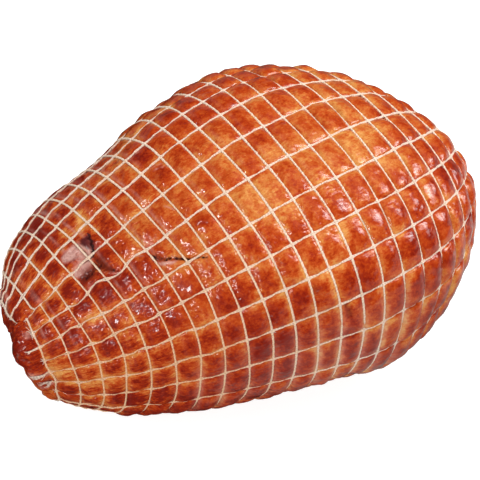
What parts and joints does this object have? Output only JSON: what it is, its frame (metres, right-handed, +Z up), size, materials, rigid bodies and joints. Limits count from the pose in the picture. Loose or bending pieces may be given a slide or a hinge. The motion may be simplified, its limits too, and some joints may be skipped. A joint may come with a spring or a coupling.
{
  "type": "netted boneless ham",
  "caption": "Whole smoked boneless pit ham, broad at the butt and narrow at the shank, pillowed by a tight elastic net that is open at both ends.",
  "frame": {"origin": "middle of the bounding box at the plane that the ham rests on", "axes": "+X along the ham from the narrow shank end to the broad butt end, +Z up"},
  "size_m": [0.2964, 0.2262, 0.1679],
  "materials": {
    "ham": "smoked ham surface, glossy and moist, deep red-brown with golden patches beside the net",
    "net": "cream elastic yarn, smoke-tinted, knitted lengthwise chains and covered elastic rings"
  },
  "bodies": {
    "root": {"ham": "ham", "net": "net"}
  },
  "joints": []
}
